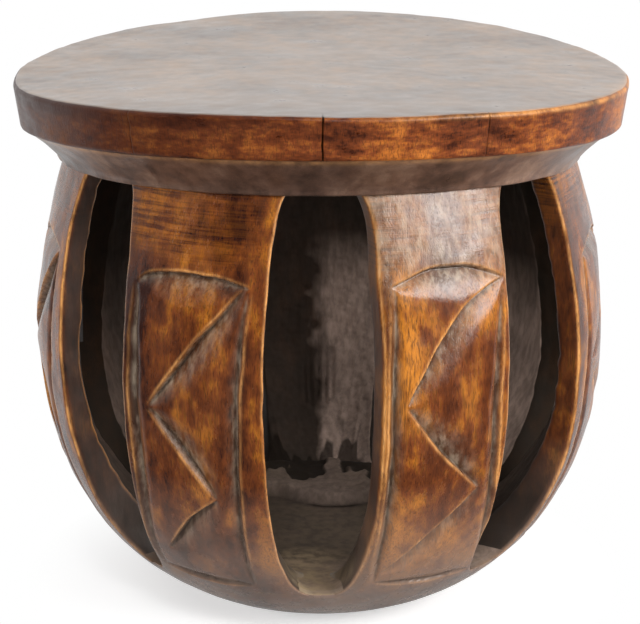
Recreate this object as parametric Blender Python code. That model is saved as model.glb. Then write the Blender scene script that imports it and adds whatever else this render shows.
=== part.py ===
"""A round carved stool: seat, collar, seven ribs and a shallow footed base.

The thick round seat lies on a collar whose side runs in below it. Seven wide ribs bend down from the
collar, as the wall of a bowl would, to the base, and tall windows stay open between them. The wall grows
thicker towards the foot. Each rib carries a chip-carved panel: a zigzag between two side grooves, closed
by an arc above and an arc below.

The stool stands on z = 0 with its axis on Z. A window faces the front, which is -Y.
"""
import math

import bmesh
import bpy
from mathutils import Vector

# Overall sizes, in metres
STOOL_HEIGHT = 0.356
SEAM = 0.0003

# Seat
SEAT_RADIUS = 0.200
SEAT_THICKNESS = 0.0305
SEAT_RIM_LEAN = 0.0035
SEAT_TOP_ROUND = 0.005
SEAT_UNDER_ROUND = 0.0025

# Collar under the seat
COLLAR_HEIGHT = 0.024
COLLAR_SETBACK = 0.0025
COLLAR_LIP_OVERHANG = 0.0035
COLLAR_LIP_EDGE = 0.002
COLLAR_HOLLOW = 1.25

# Bowl that the ribs and the base follow
NECK_RADIUS = 0.1685
BELLY_RADIUS = 0.1895
BELLY_HEIGHT = 0.185
FOOT_RADIUS = 0.078
BOWL_FULLNESS = 2.3
NECK_FULLNESS = 1.7
WALL = 0.015
FOOT_WALL = 0.036
WALL_GROWTH = 2.0

# Base
SILL_HEIGHT = 0.040
FLOOR_HEIGHT = 0.028
FLOOR_DISH = 2.5

# Windows between the ribs
RIB_NAMES = ("front_right", "right", "back_right", "back", "back_left", "left", "front_left")
WINDOW_ANGLE = math.radians(21.6)
WINDOW_HEAD_TAPER = 0.11
WINDOW_SILL_TAPER = 0.39
WINDOW_HEAD_RISE = 0.0045
WINDOW_SILL_DROP = 0.0005
WINDOW_HEAD_SQUARENESS = 6.0
WINDOW_SILL_SQUARENESS = 5.0

# Carved panel on every rib: a slant is how far a cut's floor runs before it meets the rib's face, and
# the chip taper shapes how quickly a cut runs out at its two ends
CHIP_TAPER = 0.6
BORDER_WIDTH = 0.011
PANEL_TOP_HEIGHT = 0.250
PANEL_FOOT_HEIGHT = 0.052
TOP_ARC_RISE = 0.007
TOP_ARC_DEPTH = 0.0045
TOP_ARC_SLANT = 0.020
FOOT_ARC_SAG = 0.006
FOOT_ARC_DEPTH = 0.003
FOOT_ARC_SLANT = 0.010
GROOVE_DEPTH = 0.0032
GROOVE_SLANT = 0.008
ZIGZAG_LEFT_HEIGHT = 0.174
ZIGZAG_RIGHT_HEIGHT = 0.117
ZIGZAG_LEFT_INSET = 0.008
ZIGZAG_RIGHT_INSET = 0.016
ZIGZAG_DEPTH = 0.0045
ZIGZAG_SLANT = 0.016
CUTTER_STAND_OFF = 0.004
CUTTER_TIP_LIFT = 0.0005

# Fineness of the curved faces
TURNED_STEPS = 56
PROFILE_STEPS = 8
RIB_COLUMNS = 6
RIB_ROWS = 16
CUT_STATIONS = 8
CUT_DIRECTION_STEP = 0.01
ROUND_STEPS = 3
FOOT_CROWDING = 1.5
MERGE_DISTANCE = 0.00001
CRISP_ANGLE = math.radians(28)

# Heights and radii that follow from the sizes above
SEAT_UNDERSIDE = STOOL_HEIGHT - SEAT_THICKNESS
COLLAR_UNDERSIDE = SEAT_UNDERSIDE - COLLAR_HEIGHT
COLLAR_TOP = SEAT_UNDERSIDE - SEAM
RIB_TOP = COLLAR_UNDERSIDE - SEAM
RIB_FOOT = SILL_HEIGHT + SEAM
RIB_PITCH = 2 * math.pi / len(RIB_NAMES)
WINDOW_HEAD = COLLAR_UNDERSIDE + WINDOW_HEAD_RISE
WINDOW_SILL = SILL_HEIGHT - WINDOW_SILL_DROP
WINDOW_MIDDLE = (WINDOW_HEAD + WINDOW_SILL) / 2
FOOT_SHARE = FOOT_RADIUS / BELLY_RADIUS
BOWL_DEPTH = BELLY_HEIGHT / (1 - FOOT_SHARE ** BOWL_FULLNESS) ** (1 / BOWL_FULLNESS)


def clear_scene():
    """Start from an empty scene."""
    for old in list(bpy.data.objects):
        bpy.data.objects.remove(old, do_unlink=True)


def wood(name, colour, roughness):
    """A waxed dark wood."""
    material = bpy.data.materials.new(name)
    material.use_nodes = True
    shader = material.node_tree.nodes["Principled BSDF"]
    shader.inputs["Base Color"].default_value = (*colour, 1.0)
    shader.inputs["Roughness"].default_value = roughness
    shader.inputs["Metallic"].default_value = 0.0
    return material


def bowl_radius(z):
    """Outer radius of the bowl: a full curve from foot to belly, an easier one from belly to neck."""
    if z <= BELLY_HEIGHT:
        drop = (BELLY_HEIGHT - z) / BOWL_DEPTH
        return BELLY_RADIUS * (1 - drop ** BOWL_FULLNESS) ** (1 / BOWL_FULLNESS)
    rise = (z - BELLY_HEIGHT) / (COLLAR_UNDERSIDE - BELLY_HEIGHT)
    return BELLY_RADIUS - (BELLY_RADIUS - NECK_RADIUS) * rise ** NECK_FULLNESS


def wall_at(z):
    """Thickness of the bowl's wall: even above the belly, growing below it to the foot."""
    below = max(0.0, (BELLY_HEIGHT - z) / (BELLY_HEIGHT - SILL_HEIGHT))
    return WALL + (FOOT_WALL - WALL) * below ** WALL_GROWTH


def window_half_angle(z):
    """Half of a window's width at height z, as an angle about the stool's axis."""
    above = z > WINDOW_MIDDLE
    reach = (WINDOW_HEAD if above else WINDOW_SILL) - WINDOW_MIDDLE
    squareness = WINDOW_HEAD_SQUARENESS if above else WINDOW_SILL_SQUARENESS
    share = min(1.0, (z - WINDOW_MIDDLE) / reach)
    round_end = (1 - share ** squareness) ** (1 / squareness)
    above_belly = max(0.0, (z - BELLY_HEIGHT) / (COLLAR_UNDERSIDE - BELLY_HEIGHT))
    below_belly = max(0.0, (BELLY_HEIGHT - z) / BELLY_HEIGHT)
    narrowing = 1 - WINDOW_HEAD_TAPER * above_belly - WINDOW_SILL_TAPER * below_belly
    return WINDOW_ANGLE / 2 * narrowing * round_end


def rib_half_angle(z):
    """Half of a rib's width at height z: what the windows beside it leave."""
    return RIB_PITCH / 2 - window_half_angle(z)


def on_bowl(angle, z, depth):
    """Point at an angle from the front, at height z, a depth inside the bowl's outer face."""
    radius = bowl_radius(z) - depth
    return Vector((radius * math.sin(angle), -radius * math.cos(angle), z))


def quarter_round(centre, radius, start):
    """Points of a quarter circle in the profile plane, turning clockwise from a start angle."""
    points = []
    for step in range(ROUND_STEPS + 1):
        angle = start - math.pi / 2 * step / ROUND_STEPS
        points.append((centre[0] + radius * math.cos(angle), centre[1] + radius * math.sin(angle)))
    return points


def turned(name, profile, closed, material):
    """Turn a profile of (radius, height) points once round the stool's axis."""
    bm = bmesh.new()
    verts = [bm.verts.new((radius, 0, z)) for radius, z in profile]
    edges = [bm.edges.new(pair) for pair in zip(verts, verts[1:])]
    if closed:
        edges.append(bm.edges.new((verts[-1], verts[0])))
    bmesh.ops.spin(bm, geom=verts + edges, axis=(0, 0, 1), cent=(0, 0, 0), angle=2 * math.pi,
                   steps=TURNED_STEPS, use_merge=True)
    bmesh.ops.remove_doubles(bm, verts=bm.verts, dist=MERGE_DISTANCE)
    return finish(bm, name, material)


def finish(bm, name, material):
    """Make the object of a piece, with its faces out, flat faces crisp and round ones smooth."""
    bmesh.ops.recalc_face_normals(bm, faces=bm.faces)
    mesh = bpy.data.meshes.new(name)
    bm.to_mesh(mesh)
    bm.free()
    mesh.shade_smooth()
    mesh.set_sharp_from_angle(angle=CRISP_ANGLE)
    if material:
        mesh.materials.append(material)
    piece = bpy.data.objects.new(name, mesh)
    bpy.context.scene.collection.objects.link(piece)
    return piece


def make_seat(material):
    """The flat seat: its rim leans in a little towards the underside, with worn round edges."""
    low_radius = SEAT_RADIUS - SEAT_RIM_LEAN
    top_centre = (SEAT_RADIUS - SEAT_TOP_ROUND, STOOL_HEIGHT - SEAT_TOP_ROUND)
    low_centre = (low_radius - SEAT_UNDER_ROUND, SEAT_UNDERSIDE + SEAT_UNDER_ROUND)
    profile = [(0, STOOL_HEIGHT)]
    profile += quarter_round(top_centre, SEAT_TOP_ROUND, math.pi / 2)
    profile += quarter_round(low_centre, SEAT_UNDER_ROUND, 0)
    profile.append((0, SEAT_UNDERSIDE))
    return turned("seat_disc", profile, False, material)


def make_collar(material):
    """The open ring under the seat: a slightly hollow side that runs in to a lip over the ribs."""
    top_radius = SEAT_RADIUS - SEAT_RIM_LEAN - COLLAR_SETBACK
    lip_radius = NECK_RADIUS + COLLAR_LIP_OVERHANG
    inner_radius = NECK_RADIUS - WALL
    lip_top = COLLAR_UNDERSIDE + COLLAR_LIP_EDGE
    profile = []
    for step in range(PROFILE_STEPS // 2 + 1):
        share = 1 - step / (PROFILE_STEPS // 2)
        radius = lip_radius + (top_radius - lip_radius) * share ** COLLAR_HOLLOW
        profile.append((radius, lip_top + (COLLAR_TOP - lip_top) * share))
    profile.append((lip_radius - COLLAR_LIP_EDGE, COLLAR_UNDERSIDE))
    profile.append((inner_radius, COLLAR_UNDERSIDE))
    profile.append((inner_radius, COLLAR_TOP))
    return turned("collar_ring", profile, True, material)


def make_base(material):
    """The shallow base: flat foot, bowl-shaped side, flat rim that sills the windows, dished floor."""
    rim_radius = bowl_radius(SILL_HEIGHT)
    inner_radius = rim_radius - wall_at(SILL_HEIGHT)
    profile = []
    for step in range(PROFILE_STEPS // 2 + 1):
        share = step / (PROFILE_STEPS // 2)
        dish = (SILL_HEIGHT - FLOOR_HEIGHT) * share ** FLOOR_DISH
        profile.append((inner_radius * share, FLOOR_HEIGHT + dish))
    for step in range(PROFILE_STEPS + 1):
        share = (1 - step / PROFILE_STEPS) ** FOOT_CROWDING
        profile.append((bowl_radius(SILL_HEIGHT * share), SILL_HEIGHT * share))
    profile.append((0, 0))
    return turned("base_bowl", profile, False, material)


def plain_rib():
    """One rib facing the front: a flat slab wrapped on the bowl, its rows closer where its ends flare."""
    bm = bmesh.new()
    bmesh.ops.create_grid(bm, x_segments=RIB_COLUMNS, y_segments=RIB_ROWS, size=1)
    outer = list(bm.verts)
    slab = bmesh.ops.extrude_face_region(bm, geom=bm.faces[:], use_keep_orig=True)
    inner = [item for item in slab["geom"] if isinstance(item, bmesh.types.BMVert)]
    for verts, depth_share in ((outer, 0), (inner, 1)):
        for vert in verts:
            share = (1 + math.sin(vert.co.y * math.pi / 2)) / 2
            z = RIB_FOOT + (RIB_TOP - RIB_FOOT) * share
            vert.co = on_bowl(vert.co.x * rib_half_angle(z), z, depth_share * wall_at(z))
    return finish(bm, "plain_rib", None)


def border_angle(z):
    """Angle from a rib's middle to its side groove."""
    return rib_half_angle(z) - BORDER_WIDTH / bowl_radius(z)


def chip_cutter(name, path, depth, slant, side):
    """A wedge that lifts one chip out of a rib's face.

    The path gives (angle, height) for a share from 0 to 1. The wedge stands square to the face along the
    path, its floor climbs away from it on one side, and both of its ends run out to a point.
    """
    bm = bmesh.new()
    rings = []
    for step in range(1, CUT_STATIONS):
        share = step / CUT_STATIONS
        size = math.sin(math.pi * share) ** CHIP_TAPER
        angle, z = path(share)
        ahead = path(share + CUT_DIRECTION_STEP)
        behind = path(share - CUT_DIRECTION_STEP)
        along = Vector(((ahead[0] - behind[0]) * bowl_radius(z), ahead[1] - behind[1])).normalized()
        across = Vector((along.y, -along.x)) * side
        reach = slant * size + CUTTER_STAND_OFF * slant / depth
        far_angle = angle + across.x * reach / bowl_radius(z)
        far_z = z + across.y * reach
        floor = on_bowl(angle, z, depth * size)
        edge = on_bowl(angle, z, -CUTTER_STAND_OFF)
        far_edge = on_bowl(far_angle, far_z, -CUTTER_STAND_OFF)
        rings.append([bm.verts.new(point) for point in (floor, edge, far_edge)])
    for ring, following in zip(rings, rings[1:]):
        for here in range(3):
            there = (here + 1) % 3
            bm.faces.new((ring[here], ring[there], following[there], following[here]))
    for ring, share in ((rings[0], 0), (rings[-1], 1)):
        tip = bm.verts.new(on_bowl(*path(share), -CUTTER_TIP_LIFT))
        for here in range(3):
            bm.faces.new((ring[here], ring[(here + 1) % 3], tip))
    return finish(bm, name, None)


def straight(start, end):
    """Path of a straight cut between two (angle, height) points."""
    def path(share):
        return start[0] + (end[0] - start[0]) * share, start[1] + (end[1] - start[1]) * share
    return path


def across_panel(height, bow):
    """Path of an arc from the left groove to the right one, bowed up or down in its middle."""
    reach = border_angle(height)

    def path(share):
        return reach * (2 * share - 1), height + bow * 4 * share * (1 - share)
    return path


def down_groove(side):
    """Path of a side groove, from the panel's top to its foot."""
    def path(share):
        z = PANEL_TOP_HEIGHT + (PANEL_FOOT_HEIGHT - PANEL_TOP_HEIGHT) * share
        return side * border_angle(z), z
    return path


def zigzag_point(side, height, inset):
    """A corner of the zigzag, set in from a side groove."""
    return side * (border_angle(height) - inset / bowl_radius(height)), height


def panel_cutters():
    """Every cutter of the carved panel: the zigzag's chips on its right side, the others inside it."""
    corners = (
        zigzag_point(1, PANEL_TOP_HEIGHT, 0),
        zigzag_point(-1, ZIGZAG_LEFT_HEIGHT, ZIGZAG_LEFT_INSET),
        zigzag_point(1, ZIGZAG_RIGHT_HEIGHT, ZIGZAG_RIGHT_INSET),
        zigzag_point(-1, PANEL_FOOT_HEIGHT, 0),
    )
    top_arc = across_panel(PANEL_TOP_HEIGHT, TOP_ARC_RISE)
    foot_arc = across_panel(PANEL_FOOT_HEIGHT, -FOOT_ARC_SAG)
    cutters = [
        chip_cutter("top_arc", top_arc, TOP_ARC_DEPTH, TOP_ARC_SLANT, 1),
        chip_cutter("foot_arc", foot_arc, FOOT_ARC_DEPTH, FOOT_ARC_SLANT, -1),
        chip_cutter("left_groove", down_groove(-1), GROOVE_DEPTH, GROOVE_SLANT, -1),
        chip_cutter("right_groove", down_groove(1), GROOVE_DEPTH, GROOVE_SLANT, 1),
    ]
    for number, (start, end) in enumerate(zip(corners, corners[1:])):
        line = straight(start, end)
        cutters.append(chip_cutter(f"zigzag_{number}", line, ZIGZAG_DEPTH, ZIGZAG_SLANT, -1))
    return cutters


def carved_rib_mesh(material):
    """The finished rib's mesh: the plain rib with every chip of the panel cut away."""
    rib = plain_rib()
    cutters = panel_cutters()
    for cutter in cutters:
        cut = rib.modifiers.new(cutter.name, "BOOLEAN")
        cut.operation = "DIFFERENCE"
        cut.solver = "EXACT"
        cut.object = cutter
    bpy.context.view_layer.update()
    evaluated = rib.evaluated_get(bpy.context.evaluated_depsgraph_get())
    mesh = bpy.data.meshes.new_from_object(evaluated)
    mesh.materials.clear()
    mesh.materials.append(material)
    for used in [rib] + cutters:
        bpy.data.objects.remove(used, do_unlink=True)
    return mesh


def make_ribs(material):
    """All the ribs, evenly spaced, with a window at the front."""
    mesh = carved_rib_mesh(material)
    ribs = []
    for place, name in enumerate(RIB_NAMES):
        rib = bpy.data.objects.new("rib_" + name, mesh)
        rib.rotation_euler.z = (place + 0.5) * RIB_PITCH
        bpy.context.scene.collection.objects.link(rib)
        ribs.append(rib)
    return ribs


def main():
    clear_scene()
    stool = bpy.data.objects.new("round_stool", None)
    bpy.context.scene.collection.objects.link(stool)
    pieces = [
        make_seat(wood("seat_wood", (0.17, 0.10, 0.07), 0.38)),
        make_collar(wood("collar_wood", (0.09, 0.045, 0.03), 0.42)),
        make_base(wood("base_wood", (0.13, 0.075, 0.05), 0.45)),
    ]
    pieces += make_ribs(wood("rib_wood", (0.21, 0.085, 0.035), 0.45))
    for piece in pieces:
        piece.parent = stool


main()
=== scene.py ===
# %% [markdown]
# # A round carved stool
# This lesson dresses the stool's solid model: seat, collar, seven carved ribs and base are made again with
# the hand-carved surface, the cracks and the waxed wood of the real thing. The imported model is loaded
# first, because it fixes where every piece stands and how big it is.

# %% Load the solid model
import math
from functools import partialmethod
from types import SimpleNamespace

import bmesh
import bpy
import numpy as np
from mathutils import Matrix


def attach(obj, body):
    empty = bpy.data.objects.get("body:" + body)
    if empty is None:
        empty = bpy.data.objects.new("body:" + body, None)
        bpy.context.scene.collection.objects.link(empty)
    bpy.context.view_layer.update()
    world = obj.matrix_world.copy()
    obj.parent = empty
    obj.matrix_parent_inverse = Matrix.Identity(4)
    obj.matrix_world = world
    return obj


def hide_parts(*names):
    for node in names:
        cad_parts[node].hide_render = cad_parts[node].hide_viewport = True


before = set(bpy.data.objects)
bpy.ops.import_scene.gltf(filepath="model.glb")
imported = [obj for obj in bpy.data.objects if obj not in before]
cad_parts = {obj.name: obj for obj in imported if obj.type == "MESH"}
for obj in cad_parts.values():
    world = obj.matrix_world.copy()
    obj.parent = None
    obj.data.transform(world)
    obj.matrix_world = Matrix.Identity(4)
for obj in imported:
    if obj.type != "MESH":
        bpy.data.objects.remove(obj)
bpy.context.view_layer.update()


# %% [markdown]
# ## The bowl behind every piece
# The stool was cut from one log, so ribs and base share one outline, like the wall of a bowl. Pieces traced
# one by one would not meet at the seams. One formula for the radius at each height keeps them together, and
# lengths measured along it place the rows of points evenly.

# %% Outline of the bowl
SEAT_RADIUS = 0.200
SEAT_TOP = 0.356
SEAT_UNDERSIDE = 0.3255
COLLAR_UNDERSIDE = 0.3015
NECK_RADIUS, NECK_FULLNESS = 0.1685, 1.7
BELLY_RADIUS, BELLY_HEIGHT, BOWL_FULLNESS = 0.1895, 0.185, 2.3
FOOT_RADIUS = 0.078
SILL_HEIGHT = 0.040
WALL, FOOT_WALL = 0.015, 0.036
BOWL_DEPTH = BELLY_HEIGHT / (1 - (FOOT_RADIUS / BELLY_RADIUS) ** BOWL_FULLNESS) ** (1 / BOWL_FULLNESS)
HAIR = 0.0001


def ramp(value):
    """A value held between 0 and 1."""
    return np.clip(value, 0, 1)


def between(value, start, end):
    """How far a value has come from start to end, held between 0 and 1; end may be the smaller one."""
    return ramp((value - start) / (end - start))


def bowl_radius(z):
    """Outer radius at a height, or at many heights at once."""
    drop = ramp((BELLY_HEIGHT - z) / BOWL_DEPTH)
    rise = np.clip((z - BELLY_HEIGHT) / (COLLAR_UNDERSIDE - BELLY_HEIGHT), 0, None)
    lower = BELLY_RADIUS * (1 - drop ** BOWL_FULLNESS) ** (1 / BOWL_FULLNESS)
    upper = BELLY_RADIUS - (BELLY_RADIUS - NECK_RADIUS) * rise ** NECK_FULLNESS
    return np.where(z <= BELLY_HEIGHT, lower, upper)


def wall_at(z):
    """Thickness of the wall at a height, growing from the belly to the foot."""
    below = between(z, BELLY_HEIGHT, SILL_HEIGHT)
    return WALL + (FOOT_WALL - WALL) * below ** 2


HEIGHTS = np.linspace(0, COLLAR_UNDERSIDE, 3000)
RUN = np.concatenate([[0], np.cumsum(np.hypot(np.diff(HEIGHTS), np.diff(bowl_radius(HEIGHTS))))])


def run_at(z):
    """Length along the outline from the foot up to a height."""
    return np.interp(z, HEIGHTS, RUN)


def height_at(run):
    """Height that lies a length along the outline."""
    return np.interp(run, RUN, HEIGHTS)


print("outline from foot to collar:", round(float(RUN[-1]), 4), "metres")

# %% [markdown]
# ## The unevenness of hand work
# An adze and a knife leave no exact circle: surfaces swell and dip by a millimetre or so. Displacement
# textures could give that, but pieces that meet must dip together. So one field of soft random lumps serves
# the whole stool, and every piece reads it at its own points.

# %% A field of soft lumps
LATTICE_SIDE, LATTICE_SHIFT = 32, 500.5
LATTICE = np.random.default_rng(11).uniform(-1, 1, (LATTICE_SIDE,) * 3)


def ease(share):
    """A share from 0 to 1 that starts and stops gently."""
    return share * share * (3 - 2 * share)


def lumps(points, size):
    """Soft random values from about -1 to 1 at points; size is about a lump's width."""
    place = np.asarray(points) / size + LATTICE_SHIFT
    cell = np.floor(place).astype(int)
    part = ease(place - cell)
    total = 0
    for corner in np.ndindex(2, 2, 2):
        weight = np.prod(np.where(corner, part, 1 - part), axis=-1)
        i, j, k = np.moveaxis((cell + corner) % LATTICE_SIDE, -1, 0)
        total = total + weight * LATTICE[i, j, k]
    return total


def layered(points, *layers):
    """Lumps of several heights and sizes on top of each other."""
    return sum(height * lumps(points, size) for height, size in layers)


def hand_work(points):
    """How far the carver's outer surface stands off the exact form, in metres."""
    return layered(points, (0.0011, 0.055), (0.0005, 0.021), (0.00018, 0.008))


# %% [markdown]
# ## The bow of the seat
# Timber moves as it dries. This seat has sunk at its two sides and stands up at front and back, and its top
# runs up a little towards the back. A lattice modifier could bend it; a formula moves every piece above the
# belly alike, so that no seam opens.

# %% Bow and tilt
BOW = 0.0049
BOW_START, BOW_FULL = 0.150, 0.330
TILT = 0.0045


def dried(points):
    """Points moved as the drying timber moved them."""
    x, y, z = points.T
    bowed = between(z, BOW_START, BOW_FULL)
    tilted = between(z, BOW_FULL, SEAT_TOP)
    lift = BOW * bowed * (y * y - x * x) / SEAT_RADIUS ** 2 + TILT * tilted * y / SEAT_RADIUS
    return np.stack([x, y, z + lift], axis=1)


# %% [markdown]
# ## Small tools of the trade
# Operators act on whatever is selected, and the loaded model still is, so each piece begins with an empty
# selection. Coordinates go in and out of a mesh as whole arrays, which is quick for the many points of a
# carving. Values such as wear are stored on the points, where a material can read them.

# %% Helpers for meshes
def start_fresh():
    """Leave edit mode and select nothing."""
    if bpy.context.object and bpy.context.object.mode != "OBJECT":
        bpy.ops.object.mode_set(mode="OBJECT")
    bpy.ops.object.select_all(action="DESELECT")


def read_points(piece):
    """All the points of a piece as rows of x, y, z."""
    flat = np.empty(len(piece.data.vertices) * 3, np.float32)
    piece.data.vertices.foreach_get("co", flat)
    return flat.reshape(-1, 3).astype(float)


def write_points(piece, points):
    """Put moved points back into a piece."""
    piece.data.vertices.foreach_set("co", np.ascontiguousarray(points, np.float32).ravel())
    piece.data.update()


def store(piece, **values):
    """Keep values from 0 to 1 on the points, each under its own name, for a material to read."""
    for name, value in values.items():
        layer = piece.data.attributes.new(name, "FLOAT", "POINT")
        layer.data.foreach_set("value", np.ascontiguousarray(ramp(value), np.float32))


def cylinder(points):
    """Radius, angle from the front in radians (positive to the right) and height of points."""
    return np.hypot(points[:, 0], points[:, 1]), np.arctan2(points[:, 0], -points[:, 1]), points[:, 2]


def rows(*columns):
    """Columns of numbers set side by side; a single number fills its whole column."""
    return np.stack(np.broadcast_arrays(*columns), axis=1)


def polar(angle, radius, z):
    """Rows of x, y, z from angle, radius and height."""
    return rows(radius * np.sin(angle), -radius * np.cos(angle), z)


def bump(off, width):
    """1 on a line and fading softly to nothing a width or two off it."""
    return np.exp(-(off / width) ** 2)


# %% [markdown]
# ## Turned pieces
# Seat, collar and base are round. Each begins as one point, extruded along half of its section as one would
# draw it by hand, and the section is spun round the axis. The seat's columns are crowded at its cracks, so
# that a crack half a millimetre wide is real geometry and the rest stays light.

# %% Draw a section and spin it
MERGE_WITHIN = 0.00002


def draw_section(name, section):
    """A row of edges through (radius, height) points, made by extruding one point."""
    start_fresh()
    bpy.ops.mesh.primitive_plane_add(size=0.01, location=(0, 0, 0))
    piece = bpy.context.object
    piece.name = piece.data.name = name
    bpy.ops.object.mode_set(mode="EDIT")
    bpy.ops.mesh.merge(type="CENTER")
    bpy.ops.transform.translate(value=(section[0][0], 0, section[0][1]))
    for here, there in zip(section, section[1:]):
        step = (there[0] - here[0], 0, there[1] - here[1])
        bpy.ops.mesh.extrude_vertices_move(TRANSFORM_OT_translate={"value": step})
    return piece


def spin_section(piece, columns):
    """Spin the section round the axis, close the seam and point the faces out."""
    bpy.ops.mesh.select_all(action="SELECT")
    bpy.ops.mesh.spin(steps=columns, angle=2 * math.pi, center=(0, 0, 0), axis=(0, 0, 1))
    bpy.ops.mesh.select_all(action="SELECT")
    bpy.ops.mesh.remove_doubles(threshold=MERGE_WITHIN)
    bpy.ops.mesh.normals_make_consistent(inside=False)
    bpy.ops.object.mode_set(mode="OBJECT")
    return piece


def spread(start, end, count):
    """Even points from start to end, without the start."""
    share = np.linspace(0, 1, count + 1)[1:, None]
    return [tuple(point) for point in np.array(start) + (np.array(end) - np.array(start)) * share]


def arc(centre, radius, start, end, count):
    """Points of an arc in the section, from one angle to another in degrees."""
    angles = np.radians(np.linspace(start, end, count + 1))
    return [(centre[0] + radius * math.cos(a), centre[1] + radius * math.sin(a)) for a in angles]


# %% Crowd the columns at the cracks
CRACKS = np.radians([-34.1, 0.4, 29.2])
CROWD, CROWD_WIDTH = 6.0, math.radians(1.1)


def crowd(angle):
    """Angles moved so that many columns stand close to each crack."""
    steps = np.linspace(-math.pi, math.pi, 8001)
    density = np.ones_like(steps)
    for crack in CRACKS:
        density += CROWD * bump(steps - crack, CROWD_WIDTH)
    gathered = np.concatenate([[0], np.cumsum((density[1:] + density[:-1]) / 2)])
    return np.interp(angle, (gathered / gathered[-1] * 2 - 1) * math.pi, steps)


# %% [markdown]
# ## Seat
# The seat is a thick disc whose rim leans in a little below. Sitting has rounded its upper edge, and three
# drying cracks run down the front, the middle one also into the top. Booleans would leave sliver faces
# there, so the crowded columns are pushed in instead.

# %% Seat disc
RIM_LEAN, TOP_ROUND, UNDER_ROUND = 0.0035, 0.0035, 0.0025
FLAT_RADIUS = 0.150
SEAT_COLUMNS = 640

low_radius = SEAT_RADIUS - RIM_LEAN
rim_top = (SEAT_RADIUS - TOP_ROUND, SEAT_TOP - TOP_ROUND)
rim_low = (low_radius - UNDER_ROUND, SEAT_UNDERSIDE + UNDER_ROUND)
section = [(0, SEAT_TOP)] + spread((0, SEAT_TOP), (FLAT_RADIUS, SEAT_TOP), 22)
section += spread((FLAT_RADIUS, SEAT_TOP), (SEAT_RADIUS - TOP_ROUND - HAIR, SEAT_TOP), 28)
section += arc(rim_top, TOP_ROUND, 90, 0, 8)
section += spread((SEAT_RADIUS, rim_top[1]), (low_radius, rim_low[1]), 20)
section += arc(rim_low, UNDER_ROUND, 0, -90, 5)[1:]
section += spread((rim_low[0], SEAT_UNDERSIDE), (0, SEAT_UNDERSIDE), 24)
seat = spin_section(draw_section("seat_disc", section), SEAT_COLUMNS)
print("seat:", len(seat.data.polygons), "faces")

# %% Uneven seat
RIM_SWELL, RIM_SWELL_SIZE = 0.0022, 0.13

drawn_radius, angle, height = cylinder(read_points(seat))
angle = crowd(angle)
flat = polar(angle, drawn_radius, height)
on_top = height > SEAT_TOP - HAIR
on_rim = (height < SEAT_TOP - 0.0004) & (drawn_radius > low_radius - 0.004)
outward = between(drawn_radius, FLAT_RADIUS, SEAT_RADIUS)
round_rim = polar(angle, SEAT_RADIUS, 0)
radius = drawn_radius + outward * (RIM_SWELL * lumps(round_rim, RIM_SWELL_SIZE) + 0.6 * hand_work(flat))
height = height + np.where(height > SEAT_UNDERSIDE + 0.001, 0.8 * hand_work(flat + 0.4), 0)

# %% Cracks in the rim
CRACK_WIDTH, CRACK_SIZE = 0.00042, 0.006
CRACK_DEPTHS = (0.0013, 0.0028, 0.0013)
CRACKS_INTO_TOP = (0.004, 0.014, 0.003)
EDGE_INSET = 0.002


def crack_depth(angle, radius, height):
    """How deep the drying cracks cut at each point, in metres."""
    deepest = np.zeros_like(angle)
    for crack, depth, inward in zip(CRACKS, CRACK_DEPTHS, CRACKS_INTO_TOP):
        track = rows(0, crack * 3, height + radius)
        wander = layered(track, (0.0009, 0.011), (0.0005, 0.004))
        off = ((angle - crack + math.pi) % (2 * math.pi) - math.pi) * radius - wander
        reach = ramp(1 - (SEAT_RADIUS - EDGE_INSET - radius) / inward)
        opened = 0.55 + 0.45 * lumps(track + 1.7, CRACK_SIZE)
        deepest = np.maximum(deepest, depth * opened * reach * bump(off, CRACK_WIDTH))
    return deepest


crack = np.where(height > SEAT_UNDERSIDE - 0.001, crack_depth(angle, radius, height), 0)
cracked_radius, cracked_height = radius - np.where(on_top, 0, crack), height - np.where(on_top, crack, 0)
write_points(seat, dried(polar(angle, cracked_radius, cracked_height)))
print("deepest crack:", round(float(crack.max() * 1000), 1), "mm")

# %% Wear, stains, painted highlight and painted shade of the seat
below_edge, inside_edge = height - SEAT_TOP + EDGE_INSET, np.minimum(radius - SEAT_RADIUS + EDGE_INSET, 0)
edge_off = np.abs(below_edge) + np.abs(inside_edge)
# Painted highlight on the right of the top edge, painted shade on the rim's left side.
rubbed_right = between(flat[:, 0], 0.02, 0.08)
dark_left = between(flat[:, 0], 0.027, -0.153)
upper_band = between(SEAT_TOP - height, 0.012, 0.008)
sat_on = between(0.030 * lumps(flat, 0.06) - flat[:, 1], 0.085, 0.175)
# Cracks are painted black as shade.
store(seat, crack=crack / 0.0015, wear=0.6 * bump(edge_off, 0.0016) * rubbed_right,
      stain=np.where(on_rim, 0.80 * dark_left + 0.18 * upper_band, 0.75 * sat_on))

# %% [markdown]
# ## Collar
# Below the seat the log runs in to a ring, and ends in a small lip over the ribs. It could be lofted from
# circles, but its section is a closed loop, so spinning it gives a hollow ring with no cap to fill.

# %% Collar ring
COLLAR_SETBACK, LIP_OVERHANG, LIP_EDGE, COLLAR_HOLLOW = 0.0025, 0.0035, 0.002, 1.25
COLLAR_COLUMNS = 480

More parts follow.
